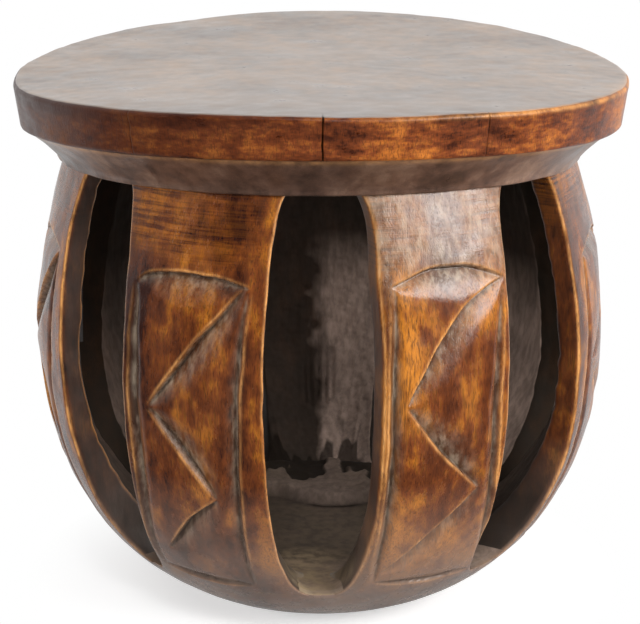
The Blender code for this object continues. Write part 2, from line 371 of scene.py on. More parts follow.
top_radius = low_radius - COLLAR_SETBACK
lip_radius, lip_top = NECK_RADIUS + LIP_OVERHANG, COLLAR_UNDERSIDE + LIP_EDGE
inner_radius = NECK_RADIUS - WALL
section = [(lip_radius + (top_radius - lip_radius) * share ** COLLAR_HOLLOW,
            lip_top + (SEAT_UNDERSIDE - lip_top) * share) for share in np.linspace(1, 0, 21)]
section += arc((lip_radius - LIP_EDGE, lip_top), LIP_EDGE, 0, -90, 4)[1:]
section += spread((lip_radius - LIP_EDGE, COLLAR_UNDERSIDE), (inner_radius, COLLAR_UNDERSIDE), 14)
section += spread((inner_radius, COLLAR_UNDERSIDE), (inner_radius, SEAT_UNDERSIDE), 14)
section += spread((inner_radius, SEAT_UNDERSIDE), section[0], 10)
collar = spin_section(draw_section("collar_ring", section), COLLAR_COLUMNS)

points = read_points(collar)
radius, angle, height = cylinder(points)
inner = between(NECK_RADIUS - radius, 0.006, 0.012)
lip = bump(height - lip_top, 0.004) * (1 - inner)
below_seat = between(SEAT_UNDERSIDE - height, 0, 0.006)
radius = radius + below_seat * (1 - inner) * hand_work(points) + lip * 0.0009 * lumps(points, 0.014)
radius = radius - inner * np.abs(0.0016 * lumps(points * (1, 1, 0.3), 0.009)) * below_seat
crack = crack_depth(angle, SEAT_RADIUS, height) * (1 - inner)
crack = crack * between(height, 0.314, 0.324)
write_points(collar, dried(polar(angle, radius - 0.4 * crack, height)))
# The collar's front is painted darker as shade; its cracks and inner faces are near black as painted shade.
store(collar, crack=crack / 0.0012, wear=0.35 * bump(height - SEAT_UNDERSIDE + 0.001, 0.0016) * (1 - inner),
      inside=inner, stain=0.5 * bump(angle, 0.5))
print("collar:", len(collar.data.polygons), "faces")

# %% [markdown]
# ## The windows
# What the carver saw is the windows; a rib is what they leave, wide at head and foot and narrow at the
# belly. The edges were cut by eye, so each has a lean of its own, in degrees at foot, belly and head or
# once for all three, and some slant through the wall. Windows could be cut out of a whole bowl, but edges
# known as angles can be followed by even rows of points.

# %% Edges of the windows
RIB_NAMES = ("front_right", "right", "back_right", "back", "back_left", "left", "front_left")
PITCH = 2 * math.pi / len(RIB_NAMES)
WINDOW_ANGLE, HEAD_TAPER, SILL_TAPER = math.radians(21.6), 0.11, 0.07
WINDOW_HEAD, WINDOW_SILL = COLLAR_UNDERSIDE + 0.0045, SILL_HEIGHT - 0.0005
WINDOW_MIDDLE = (WINDOW_HEAD + WINDOW_SILL) / 2
HEAD_SQUARENESS, SILL_SQUARENESS = 6.0, 3.6
LEAN_HEIGHTS = (0.06, 0.17, 0.28)
EDGE_LEANS = {
    "front_right": ((0.5, 0.8, 1.2), -3.0), "right": ((0.8, -1.9, -1.9), 0.4),
    "back_right": ((-10.0, -4.8, -2.5), 0.9), "back": (-0.4, 0.3),
    "back_left": (0.7, (9.0, 3.5, 2.5)), "left": (-0.5, (3.0, 2.2, -1.3)),
    "front_left": ((0.0, 1.0, 1.0), 0.6),
}
EDGE_SLANTS = {
    "front_left": (0, (-3.2, -1.2, -1.2)), "front_right": ((-0.4, -1.2, -1.2), 0),
    "back_right": ((0.0, 6.5, 12.0), 0), "back_left": (0, (0.0, -6.5, -12.0)),
}


def window_half_angle(z):
    """Half of a window's width at a height, as an angle about the axis."""
    above = z > WINDOW_MIDDLE
    squareness = np.where(above, HEAD_SQUARENESS, SILL_SQUARENESS)
    share = between(z, WINDOW_MIDDLE, np.where(above, WINDOW_HEAD, WINDOW_SILL))
    above_belly = between(z, BELLY_HEIGHT, COLLAR_UNDERSIDE)
    below_belly = between(z, BELLY_HEIGHT, 0)
    narrowing = 1 - HEAD_TAPER * above_belly - SILL_TAPER * below_belly
    return WINDOW_ANGLE / 2 * narrowing * (1 - share ** squareness) ** (1 / squareness)


def rib_edge(name, side, z, inward=0.0):
    """Angle from a rib's middle to its left (-1) or right (1) edge; inward is 0 outside and 1 inside."""
    which = (side + 1) // 2
    lean, slant = (np.interp(z, LEAN_HEIGHTS, np.broadcast_to(table.get(name, (0, 0))[which], 3))
                   for table in (EDGE_LEANS, EDGE_SLANTS))
    return side * (PITCH / 2 - window_half_angle(z)) + np.radians(lean + slant * inward)


# %% [markdown]
# ## Sills and corners
# At its foot a window ends in a rounded sill that climbs to the ribs in one smooth U, and all corners are
# worn by hands and feet. A bevel would lose its way along uneven edges, so both are written as distances
# from an edge.

# %% Scooped sills and worn corners
SCOOP_TOP, SCOOP_FALL = 0.0440, 0.006
SCOOP_STEPS = np.linspace(WINDOW_SILL + HAIR, SCOOP_TOP, 60)
EDGE_ROUND = 0.0024
sill_radius = float(bowl_radius(SILL_HEIGHT))


def by_window(angle):
    """The number of each window, with the points that are nearest to its middle."""
    nearest = np.clip(np.rint(angle / PITCH), -3, 3)
    for number in range(-3, 4):
        yield number, nearest == number


def window_clearance(angle, z):
    """Arc length from points to the nearer edge of their window; negative under a rib."""
    clear = np.empty_like(angle)
    for number, here in by_window(angle):
        low = (number - 0.5) * PITCH + rib_edge(RIB_NAMES[number - 1], 1, z)
        high = (number + 0.5) * PITCH + rib_edge(RIB_NAMES[number], -1, z)
        clear[here] = np.minimum(angle[here] - low, high - angle[here])
    return clear * bowl_radius(z)


def scoop(angle, inward):
    """How far the sill climbs towards the ribs, so that window and sill make one U."""
    rise = np.zeros_like(angle)
    for number, here in by_window(angle):
        for side, name in ((1, RIB_NAMES[number - 1]), (-1, RIB_NAMES[number])):
            edge = (number - side / 2) * PITCH + rib_edge(name, side, SCOOP_STEPS)
            shift = rib_edge(name, side, SCOOP_TOP, 1.0) - rib_edge(name, side, SCOOP_TOP)
            towards = -side * (angle[here] - inward[here] * shift)
            climb = np.interp(towards, -side * edge, SCOOP_STEPS) - SCOOP_STEPS[0]
            under_rib = (towards + side * edge[-1]) * sill_radius / SCOOP_FALL
            rise[here] = np.maximum(rise[here], climb * ramp(1 - under_rib))
    return rise


def worn_corner(distance):
    """Distance and depth of points this far from a corner, once it is worn round."""
    turn = np.radians(45) * ramp(1 - distance / EDGE_ROUND)
    rounded = distance < EDGE_ROUND
    return (np.where(rounded, EDGE_ROUND * (1 - np.sin(turn)), distance),
            np.where(rounded, EDGE_ROUND * (1 - np.cos(turn)), 0))


# %% [markdown]
# ## Base
# The ribs run down into a shallow dish with a flat foot, whose rim is the sill of the windows. It is spun
# like the seat and carries on the bowl's outline. Then the sill is lifted beside the ribs, and its edge is
# worn down where a window leaves it bare.

# %% Base bowl
FLOOR_HEIGHT, FLOOR_DISH = 0.033, 2.0
FOOT_EDGE = 0.0012
BASE_COLUMNS = 480

floor_radius = sill_radius - FOOT_WALL
floor = [(floor_radius * share, FLOOR_HEIGHT + (SILL_HEIGHT - FLOOR_HEIGHT) * share ** FLOOR_DISH)
         for share in np.linspace(0, 1, 64)]
sill_run = float(run_at(SILL_HEIGHT))
outside = [(float(bowl_radius(z)), float(z)) for z in height_at(np.linspace(sill_run, 0.0, 60))]
section = floor + spread(floor[-1], outside[0], 10) + outside[1:-3]
section += arc((FOOT_RADIUS, FOOT_EDGE), FOOT_EDGE, -10, -90, 4)
section += spread(section[-1], (0, 0), 16)
base = spin_section(draw_section("base_bowl", section), BASE_COLUMNS)
print("base:", len(base.data.polygons), "faces")

# %% Sills of the base
SILL_WORN_IN, SILL_WORN_DOWN = 0.0022, 0.0008

points = read_points(base)
radius, angle, height = cylinder(points)
sill = height > SILL_HEIGHT - HAIR / 2
is_floor = (radius < floor_radius + HAIR) & (height > FLOOR_HEIGHT - HAIR)
off_ground = between(height, 0, 0.012)
open_sill = between(window_clearance(angle, SILL_HEIGHT + 0.008), 0, 0.006)
from_rim = np.where(sill, sill_radius - radius, sill_run - run_at(height))
near_rim = (sill | (radius > FOOT_RADIUS)) & ~is_floor & (from_rim < 0.02)
reach = ramp(np.where(sill, (radius - floor_radius) / 0.020, 1 - from_rim / 0.012))
lift = scoop(angle, between(radius, sill_radius, floor_radius)) + 0.0003
lift = np.where((near_rim | sill) & ~is_floor, lift * ease(reach), 0)
outward = np.where(sill, between(radius, floor_radius, sill_radius), ~is_floor)
height = height + lift
radius = radius + outward * np.where(lift > 0, bowl_radius(height) - bowl_radius(height - lift), 0)
worn = np.where(near_rim, open_sill * bump(from_rim, 0.0035), 0)
radius, height = radius - SILL_WORN_IN * worn, height - SILL_WORN_DOWN * worn
radius = radius + np.where(is_floor, 0, off_ground * hand_work(polar(angle, radius, height)))
height = height + np.where(is_floor & (radius < floor_radius - 0.004), 0.9 * hand_work(points + 0.3), 0)
print("sill climbs", round(float(lift.max() * 1000), 1), "mm")

# %% [markdown]
# ## The broken ledge inside
# Through the front window one sees where the hollowing stopped: the floor steps up in a grey lip, and
# behind it the wood was torn out in jagged pits, painted black as shade. The lip and the front of the sill
# are painted paler, as lit. One could sculpt that by hand; here the field of lumps moves the floor's
# points, and the result is the same every time.

# %% Ledge and pits
LEDGE_MIDDLE, LEDGE_START, LEDGE_CURVE, LEDGE_STEP = 0.010, 0.031, 9.0, 0.008
PIT_START, PIT_FULL = 0.25, 0.41


def pitted(torn):
    """Pits from 0 to 1, where torn wood passes a limit."""
    return between(torn, PIT_START, PIT_FULL)


x, y, flat = points[:, 0], points[:, 1], points * (1, 1, 0)
from_ledge = np.abs(x - LEDGE_MIDDLE)
ledge_line = LEDGE_START + LEDGE_CURVE * np.clip(from_ledge, 0, 0.04) ** 2
behind = y - ledge_line - 0.003 * lumps(flat, 0.016)
torn = lumps(flat * (1, 0.45, 1), 0.012) + 0.6 * lumps(flat * (1, 0.5, 1), 0.005)
pits = pitted(torn + 25 * np.clip(behind - 0.020, 0, 0.04)) * between(behind, 0.013, 0.018)
climb = between(behind, 0, 0.009)
step = LEDGE_STEP * ease(climb) * (1 - 0.25 * pits) + 0.0012 * lumps(flat, 0.005) * climb
step = step * between(floor_radius - radius, 0, 0.006) * between(np.abs(x), 0.075, 0.055)
write_points(base, polar(angle, radius, height + np.where(is_floor, step, 0)))
print("ledge stands", round(float(step[is_floor].max() * 1000), 1), "mm over the floor")

# %% Tones of the base
top_side = is_floor | sill
sill_raw = between(radius, 0.070, 0.105)
from_middle = (angle - PITCH * np.rint(angle / PITCH)) * radius
dusty_sill = 0.15 * between(radius, 0.045, 0.095) * bump(from_middle, 0.021)
# Painted light where the lamp falls through the front window onto the left of the sill.
front_floor = between(y, -0.040, -0.100) * bump(x + 0.012, 0.027)
dusty_floor = 0.08 * is_floor * between(behind, 0, -0.006)
foot_crack = bump(behind + 0.0005, 0.0014) * between(from_ledge, 0.020, 0.014)
# Painted light and shade on the base: the inner floor painted dark as shade, its lip and the front of the
# sill paler as lit, a dusty colour with painted light on the sills, and pits and the foot of the ledge black
# as shade.
store(base, inside=np.where(near_rim, between(from_rim, 0.0015, 0.0045), 1) * top_side,
      raw=np.where(y > 0, 0.10 + 0.28 * climb * (1 - pits), 0.08 + 0.60 * sill_raw),
      tan=np.maximum(dusty_sill, np.maximum(dusty_floor, front_floor)) * top_side,
      wear=np.where(near_rim, open_sill * bump(from_rim, 0.0012), 0),
      crack=is_floor * np.maximum(0.8 * pits * (np.abs(x) < 0.07), foot_crack))

# %% [markdown]
# ## Ribs: the blank
# Every rib begins as the same blank: a fine grid, extruded to a slab, with extra cuts through its thickness
# for the cheeks. It stays a unit board, so that x and y say where a point lies across and along a rib.
# Bending modifiers would lose that, and the carving needs it.

# %% Rib blank
BLANK_COLUMNS, BLANK_ROWS, CHEEK_CUTS = 120, 340, 7
BOARD_EDGE = 0.9999


def select_edges(piece, wanted):
    """In edit mode, select only the edges whose two ends pass a test."""
    bpy.ops.mesh.select_all(action="DESELECT")
    bm = bmesh.from_edit_mesh(piece.data)
    for edge in bm.edges:
        edge.select = wanted(*(vert.co for vert in edge.verts))
    bmesh.update_edit_mesh(piece.data)


def rib_blank():
    """A unit board: x and y from -1 to 1 across and along the rib, z from 0 outside to -1 inside."""
    start_fresh()
    bpy.ops.mesh.primitive_grid_add(x_subdivisions=BLANK_COLUMNS, y_subdivisions=BLANK_ROWS, size=2)
    blank = bpy.context.object
    bpy.ops.object.mode_set(mode="EDIT")
    bpy.ops.mesh.select_all(action="SELECT")
    bpy.ops.mesh.extrude_region_move(TRANSFORM_OT_translate={"value": (0, 0, -1)})
    bpy.ops.mesh.select_mode(type="EDGE")
    select_edges(blank, lambda here, there: abs(here.z - there.z) > 0.5)
    bpy.ops.mesh.subdivide(number_cuts=CHEEK_CUTS)
    bpy.ops.mesh.select_all(action="SELECT")
    bpy.ops.mesh.normals_make_consistent(inside=False)
    select_edges(blank, lambda here, there: min(abs(here.y), abs(there.y)) > BOARD_EDGE)
    bpy.ops.mesh.mark_sharp()
    bpy.ops.object.mode_set(mode="OBJECT")
    bpy.ops.object.shade_smooth(keep_sharp_edges=True)
    return blank


blank = rib_blank()
print("rib blank:", len(blank.data.polygons), "faces")

# %% [markdown]
# ## Ribs: the chip carving
# The panel on each rib is the skilled work. Its lines are stop cuts: the knife goes straight down along a
# line, then a slanting cut from one side lifts out a chip, deepest at the line and in the middle of its
# length. A boolean for every chip would leave razor edges. Pushing the points down by the deepest chip over
# them gives the same walls and floors, softened as by wear.

# %% Chips
CHIP_TAPER, CHIP_MARGIN = 0.6, 0.004
CREASE_OFF, CREASE_WIDTH = 0.0003, 0.0008
FLOOR_CURVE = 1.7
LIP_OFF, LIP_WIDTH = 0.0006, 0.0009


def smooth_path(points, count=90, rounds=60):
    """Even points along a gently rounded path through the given ones."""
    way = np.concatenate([[0], np.cumsum(np.hypot(*np.diff(points, axis=0).T))])
    even = np.linspace(0, way[-1], count)
    path = rows(*(np.interp(even, way, column) for column in points.T))
    for _ in range(rounds):
        path[1:-1] = (path[:-2] + 2 * path[1:-1] + path[2:]) / 4
    return path


def along_path(spots, path, towards):
    """Share of a path's length nearest to each spot, and distance off it, positive on one side."""
    starts, steps = path[:-1], np.diff(path, axis=0)
    best = np.full(len(spots), np.inf)
    share, off = np.zeros((2, len(spots)))
    for number, (start, step, length) in enumerate(zip(starts, steps, np.hypot(*steps.T))):
        normal = np.array([step[1], -step[0]]) / length
        normal *= np.sign(normal @ towards) or 1
        rel = spots - start
        along = ramp(rel @ step / length ** 2)
        distance = np.hypot(*(rel - along[:, None] * step).T)
        nearer = distance < best
        best = np.where(nearer, distance, best)
        share = np.where(nearer, (number + along) / len(starts), share)
        off = np.where(nearer, np.where(rel @ normal >= 0, distance, -distance), off)
    return share, off


def cut_chip(everywhere, path, depth, slant, wall, towards):
    """Depth of one chip, and nearness to its bottom and its lip. Its floor climbs from the path."""
    low, high = path.min(axis=0) - slant - CHIP_MARGIN, path.max(axis=0) + slant + CHIP_MARGIN
    near = np.all((everywhere > low) & (everywhere < high), axis=1)
    share, off = along_path(everywhere[near], path, np.array(towards))
    size = np.sin(math.pi * share) ** CHIP_TAPER
    floor = ramp(1 - off / np.maximum(slant * size, 1e-6)) ** FLOOR_CURVE
    steep = 1 + off / wall
    sunk, crease, lip = np.zeros((3, len(everywhere)))
    sunk[near] = depth * size * ramp(np.where(off >= 0, floor, steep))
    # Nearness to a cut's bottom, later painted dark as shade.
    crease[near] = size * bump(off - CREASE_OFF, CREASE_WIDTH)
    lip[near] = size * bump(off + wall + LIP_OFF, LIP_WIDTH)
    return sunk, crease, lip


# %% [markdown]
# ## Ribs: the drawing of each panel
# The two front ribs follow the stool as it is, in degrees from the rib's middle and millimetres up. The
# others can't be seen as well and repeat the mean of the two with small differences, as a carver's eye
# would give. Each kind of chip has a depth, the widths of its floor and of its steep wall, and the side on
# which its floor lies.

# %% Panels
FRONT_LEFT = {
    "top": [(-11.3, 246), (-9, 252.2), (-1.7, 255.2), (5.7, 253.5), (12.4, 248)],
    "left": [(-11.3, 246), (-11.3, 173.5), (-11.8, 112), (-14, 80), (-15.1, 50)],
    "right": [(12.2, 246), (10.2, 190), (10.1, 158), (9.8, 118), (9.2, 80), (9.5, 48)],
    "foot": [(-15.1, 52), (-9, 46.9), (1, 44.7), (9.5, 48)],
    "zigzag": [[(11.7, 247.9), (2.3, 214.7), (-7.8, 171.4)],
               [(-7.8, 171.4), (-0.3, 140.8), (5.6, 115.2)],
               [(5.6, 115.2), (-1.5, 97.5), (-9.5, 70)]],
}
FRONT_RIGHT = {
    "top": [(-12.2, 249), (-4.7, 258.6), (3.7, 258.6), (11.4, 249.5)],
    "left": [(-11.5, 249), (-12.1, 184.4), (-12.3, 130), (-13.1, 66), (-12.8, 51)],
    "right": [(11, 246), (9.2, 200), (8.8, 168.7), (11.1, 98), (15.7, 48)],
    "foot": [(-12.6, 50.7), (-5.4, 46.5), (6.2, 44.3), (15.5, 46)],
    "zigzag": [[(11.4, 249.5), (2.2, 235.7), (-4.2, 209.4), (-9.6, 177.4)],
               [(-9.6, 177.4), (-2.1, 145.4), (6.8, 118)],
               [(6.8, 118), (-2.7, 88.4), (-11.9, 58.7)]],
}
COMMON = {
    "top": [(-11.8, 247), (-6, 254), (0, 256.5), (6, 254.5), (11.9, 248)],
    "left": [(-11.5, 247), (-11.7, 180), (-12, 121), (-13.5, 72), (-14, 50)],
    "right": [(11.6, 247), (9.8, 195), (9.6, 160), (10.4, 100), (12.6, 48)],
    "foot": [(-13.9, 51), (-6, 46.5), (5, 44.5), (12.5, 48)],
    "zigzag": [[(11.6, 248.5), (2.2, 217), (-8.7, 174.5)],
               [(-8.7, 174.5), (-1.2, 143), (6.2, 116.5)],
               [(6.2, 116.5), (-2.1, 93), (-10.7, 64)]],
}
PANELS = {"front_left": FRONT_LEFT, "front_right": FRONT_RIGHT}
CHIPS = {
    "top": (0.0058, 0.021, 0.0008, (0, -1)), "foot": (0.0034, 0.011, 0.0012, (0, 1)),
    "left": (0.0042, 0.0085, 0.0034, (1, 0)), "right": (0.0040, 0.0080, 0.0026, (-1, 0)),
    "zigzag": (0.0064, 0.020, 0.0009, (1, 0)),
}


def on_face(path):
    """A path in degrees and millimetres, as metres across and along the rib's face."""
    angle, z = np.radians([p[0] for p in path]), np.array([p[1] for p in path]) / 1000
    return rows(angle * bowl_radius(z), run_at(z))


def carve_panel(spots, panel, shift):
    """For spots on a face: depth of the panel, nearness to the bottom of a cut and to its lip."""
    carved = np.zeros((3, len(spots)))
    for name, (depth, slant, wall, towards) in CHIPS.items():
        paths = panel[name] if name == "zigzag" else [panel[name]]
        for path in paths:
            line = smooth_path(on_face(path) + shift)
            carved = np.maximum(carved, cut_chip(spots, line, depth, slant, wall, towards))
    return carved


# %% [markdown]
# ## Ribs: laid on the bowl
# Each copy of the blank is laid on the bowl: its edges follow the windows with a small wander, and its
# corners are worn. Then its outer face takes the panel. Old wax stays in the cuts, which are found by
# comparing the carved depth with the same depth blurred; its grey and dark also stand in for sheen and
# shade in the cuts, and the front-right rib's head gets a painted sheen.

# %% Lay a blank on the bowl
RIB_TOP = COLLAR_UNDERSIDE - HAIR


def lay(place, name, board):
    """Where the points of a blank lie on a rib, its corners worn; angles are from the rib's middle."""
    at = SimpleNamespace(place=place, name=name, across=board[:, 0], along=board[:, 1], inward=-board[:, 2])
    run_low, run_high = run_at(SILL_HEIGHT), run_at(RIB_TOP)
    at.run = run_low + (run_high - run_low) * (at.along + 1) / 2
    at.z = height_at(at.run)
    at.bowl, at.wall = bowl_radius(at.z), wall_at(at.z)
    at.ends = ramp((1 - np.abs(at.along)) * 12)
    at.outer, at.on_cheek = at.inward < HAIR, np.abs(at.across) > BOARD_EDGE
    edge = []
    for side in (-1, 1):
        track = rows(at.run, place * 0.7, side * 0.31 + at.inward * 0.012)
        wander = at.ends * layered(track, (0.0011, 0.035), (0.0005, 0.012))
        edge.append(rib_edge(name, side, at.z, at.inward) + wander / at.bowl)
    share = (at.across + 1) / 2
    at.from_edge = np.minimum(share, 1 - share) * ((edge[1] - edge[0]) * at.bowl)

    depth = at.inward * at.wall
    face_away, face_sunk = worn_corner(at.from_edge)
    cheek_deep, cheek_away = worn_corner(np.minimum(depth, at.wall - depth))
    moved = np.where(at.on_cheek, cheek_away, face_away - at.from_edge)
    at.angle = edge[0] * (1 - share) + edge[1] * share - np.sign(at.across) * moved / at.bowl
    front = np.where(at.on_cheek, cheek_deep, depth + face_sunk)
    rear = np.where(at.on_cheek, at.wall - cheek_deep, depth - face_sunk)
    at.depth = np.where(at.inward < 0.5, front, rear)
    return at


# %% Carve the outer face
PANEL_SHIFT = 0.0022
SHAKE, SHAKE_SIZE = 0.0006, 0.016
WAX_HOLLOW, WAX_DEPTH = 0.0012, 0.005
# A painted sheen on the head of the front-right rib.
HEAD_BLOOM = {"front_right": 0.75}


def blurred(sheet, reach=2, rounds=3):
    """A sheet of values softened over a number of neighbours each way."""
    span = 2 * reach + 1
    for axis, size in enumerate(sheet.shape):
        margins = [(reach, reach) if a == axis else (0, 0) for a in (0, 1)]
        for _ in range(rounds):
            padded = np.pad(sheet, margins, mode="edge")
            sheet = sum(np.take(padded, range(start, start + size), axis) for start in range(span)) / span
    return sheet


def carve(at):
    """Cut a rib's panel; find the bottoms and lips of its cuts, and the wax in them with painted sheen and
    shade.
    """
    rng = np.random.default_rng(100 + at.place)
    shift = (0, 0) if at.name in PANELS else rng.uniform(-PANEL_SHIFT, PANEL_SHIFT, 2)
    spots = rows(at.angle * at.bowl, at.run)
    shaken = [lumps(rows(*spots.T, at.place + far), SHAKE_SIZE) for far in (0, 9)]
    spots, panel = spots + SHAKE * rows(*shaken), PANELS.get(at.name, COMMON)
    at.carved, at.crease, at.lip, wax = np.zeros((4, len(spots)))
    outer = at.outer
    at.carved[outer], at.crease[outer], at.lip[outer] = carve_panel(spots[outer], panel, shift)

    column = np.rint((at.across[outer] + 1) / 2 * BLANK_COLUMNS).astype(int)
    row = np.rint((at.along[outer] + 1) / 2 * BLANK_ROWS).astype(int)
    sheet = np.zeros((BLANK_ROWS + 1, BLANK_COLUMNS + 1))
    sheet[row, column] = at.carved[outer]
    hollow = (sheet - blurred(sheet))[row, column]
    wax[outer] = ramp(hollow / WAX_HOLLOW) + ramp(sheet[row, column] / WAX_DEPTH)
    # Wax in the cuts, which also stands in for sheen and shade, plus a painted sheen on a rib's head.
    at.dust = wax + HEAD_BLOOM.get(at.name, 0.0) * outer * between(at.z, 0.236, 0.266)


# %% [markdown]
# ## Ribs: the inner face
# Inside, the gouge left its strokes. On the back rib, seen through the front window, they are deep and the
# wood is torn at the foot; one half is painted pale as lit wood, the other near black as painted shade,
# and the torn pits are painted black as shade. A painted map would do, but the ragged border comes easily
# from the field of lumps.

# %% Gouge strokes and bare wood
GOUGES = ((-3.6, 0.078, 0.135, 0.0024), (-1.7, 0.073, 0.120, 0.0036), (0.5, 0.075, 0.150, 0.0030),
          (2.8, 0.071, 0.125, 0.0022), (4.4, 0.074, 0.112, 0.0030))
GOUGE_WIDTH, GOUGE_WANDER = math.radians(0.7), math.radians(0.5)
INNER_ARC = 0.16
# Where the back rib's inner face is painted pale as lit; the rest of it is painted shade.
RAW_EDGE, RAW_FADE, RAW_HEIGHT = math.radians(2.5), math.radians(6.0), 0.202
# Painted light low on the inner faces beside the back rib; the default level is mostly painted shade.
SIDE_BARE = {"back_right": (0.06, 0.75), "back_left": (0.05, 0.30)}
SMOKED = 0.12


def back_gouges(angle, z):
    """Deep strokes of a gouge on the inner face of the back rib, each stopped at its own height."""
    deepest = np.zeros_like(z)
    for stroke, low, high, depth in GOUGES:
        ends = ramp((z - low) / 0.0022) * ramp((high - z) / 0.030)
        wander = GOUGE_WANDER * lumps(rows(z, stroke, 0), 0.02)
        off = angle - math.radians(stroke) - wander
        deepest = np.maximum(deepest, depth * ends * bump(off, GOUGE_WIDTH))
    return deepest


def torn_foot(angle, z):
    """Torn pits along the foot of the back rib's inner face, painted black as shade."""
    torn = layered(rows(angle * INNER_ARC, z * 0.45, 0), (1, 0.012), (0.6, 0.005))
    return pitted(torn + 60 * np.clip(0.054 - z, 0, 0.02)) * between(z, 0.068, 0.062)


def raw_wood(name, angle, z):
    """Painted light on an inner face, 0 shade to 1 lit: half of the back rib, and the foot of those beside
    it.
    """
    if name != "back":
        dark, bare = SIDE_BARE.get(name, (SMOKED, SMOKED))
        return dark + (bare - dark) * between(z, 0.205, 0.150)
    wall = rows(angle * INNER_ARC, z, 0)
    ragged = layered(wall, (np.radians(2.6), 0.016), (np.radians(2.2), 0.006))
    bare = ramp((RAW_EDGE + ragged - angle) / RAW_FADE)
    return 0.06 + 0.94 * bare * ramp((RAW_HEIGHT - z) / 0.04)


def shape(at):
    """Points of a laid and carved rib, uneven outside and gouged inside."""
    turned = at.angle + (at.place + 0.5) * PITCH
    place_now = polar(turned, at.bowl, at.z)
    gouged = lumps(polar(turned, 0.2, at.z * 0.22), 0.0085)
    rough = 0.0014 * np.abs(gouged) + 0.0008 * lumps(place_now, 0.006)
    at.torn = np.zeros_like(at.z)
    if at.name == "back":
        rough = rough + back_gouges(at.angle, at.z) + 0.0008 * lumps(place_now * (1, 1, 1.6), 0.0045)
        at.torn = torn_foot(at.angle, at.z) * (at.inward > 0.9)
    tilt = np.arctan(np.interp(at.z, HEIGHTS, np.gradient(bowl_radius(HEIGHTS), HEIGHTS)))
    uneven = hand_work(place_now) * ramp(1 - at.inward) + np.where(at.inward > 0.6, at.ends * rough, 0)
    radius = at.bowl - at.depth - at.carved * np.cos(tilt) + uneven
    return dried(polar(turned, radius, at.z + at.carved * np.sin(tilt) * at.ends))


# %% [markdown]
# ## Ribs: wear and tone
# Hands rub the corners and the lips of the cuts to pale wood. Each rib is lighter along its right border
# and darker along its left, the two ribs on the right are painted lighter as lit, and the cheeks differ in
# painted shade, near black on the back ribs, with painted light at the foot of the front ones. Painting
# would be quick, but values worked out on the points follow the form exactly.

# %% Tones of a rib
INNER_WEAR = {"left": 1.0}
# Ribs on the stool's right side, painted lighter as lit.
RUBBED = {"front_right": 0.9, "right": 0.4}
# Painted shade on each rib's left and right cheek; the back ribs' cheeks get it in full.
CHEEK_TONES = {"front_left": (0.5, 0.35), "front_right": (0.78, 0.5), "left": (0.5, 0.78),
               "right": (0.30, 0.5)}
# Painted light low on the cheeks beside the front window.
CHEEK_TAN = {"front_left": (0.0, 0.9), "front_right": (0.45, 0.0)}
# Cheeks whose painted shade is lifted a little by painted light.
PALE_CHEEKS = ("front_right", "left", "front_left")


def tones(at):
    """What the materials read on a rib, by name."""
    on_left, on_right, depth = at.across < 0, at.across > 0, at.inward * at.wall
    corner = bump(at.from_edge, 0.0013) * np.where(at.on_cheek, bump(depth, 0.0009), 1)
    inner_line = bump((1 - at.inward) * at.wall, 0.0013) * at.on_cheek * on_right
    inner_line = INNER_WEAR.get(at.name, 0.0) * inner_line
    border = bump(at.from_edge - 0.005, 0.005) * at.outer
    cheek = np.where(on_left, *CHEEK_TONES.get(at.name, (1.0, 1.0)))
    # Cheeks are painted darker towards the foot, as shade.
    cheek = np.maximum(cheek, 0.92 * between(at.z, 0.150, 0.080)) * (1 - inner_line)
    tan = np.where(on_left, *CHEEK_TAN.get(at.name, (0.0, 0.0))) * between(at.z, 0.070, 0.044)
    cheek_raw = SMOKED if at.name in PALE_CHEEKS else 0.0
    return {
        "wear": np.maximum(np.maximum(0.8 * at.lip, np.where(at.inward < 0.5, corner, 0)), inner_line),
        "rubbed": np.maximum(border * on_right, RUBBED.get(at.name, 0.0) * at.outer),
        "stain": 0.65 * border * on_left,
        "dust": at.dust,
        # Bottoms of cuts and torn pits, painted black as shade.
        "crack": np.maximum(0.6 * at.crease, 0.8 * at.torn),
        # Cheeks take painted shade below the worn corner; inner faces take painted light and shade.
        "inside": np.where(at.on_cheek, cheek * between(depth, 0.0012, 0.0042), at.inward > 0.5),
        # Dusty colour and painted light low on the cheeks.
        "tan": tan * at.on_cheek * between(at.inward, 0.15, 0.40),
        "raw": np.where(at.on_cheek, cheek_raw, raw_wood(at.name, at.angle, at.z)),
    }


# %% Make the seven ribs
def make_rib(place, name):
    """One rib of the stool, bent, carved and worn."""
    start_fresh()
    rib = blank.copy()
    rib.data = blank.data.copy()
    rib.name = rib.data.name = "rib_" + name
    bpy.context.scene.collection.objects.link(rib)
    at = lay(place, name, read_points(rib))
    carve(at)
    write_points(rib, shape(at))
    store(rib, **tones(at))
    print(rib.name, "deepest chip", round(float(at.carved.max() * 1000), 1), "mm")
    return rib


ribs = [make_rib(place, name) for place, name in enumerate(RIB_NAMES)]
bpy.data.objects.remove(blank, do_unlink=True)

# %% [markdown]
# ## Waxed old wood
# All pieces are one timber, so one recipe makes every finish: long fibres, a dark mottling from handling
# and smoke, paler wood where hands rub the edges, and a greyish bloom of old wax. Some layers also carry
# painted light and shade: painted sheen in the bloom, a painted reflection of the floor low on the base,
# and painted shade in the cuts, the cracks and inside. Image maps would be quicker, but noise on object
# coordinates runs through the seams as real grain does.

# %% Short words for nodes
MIX_COLOUR_A, MIX_COLOUR_B, MIX_COLOUR_OUT = 6, 7, 2


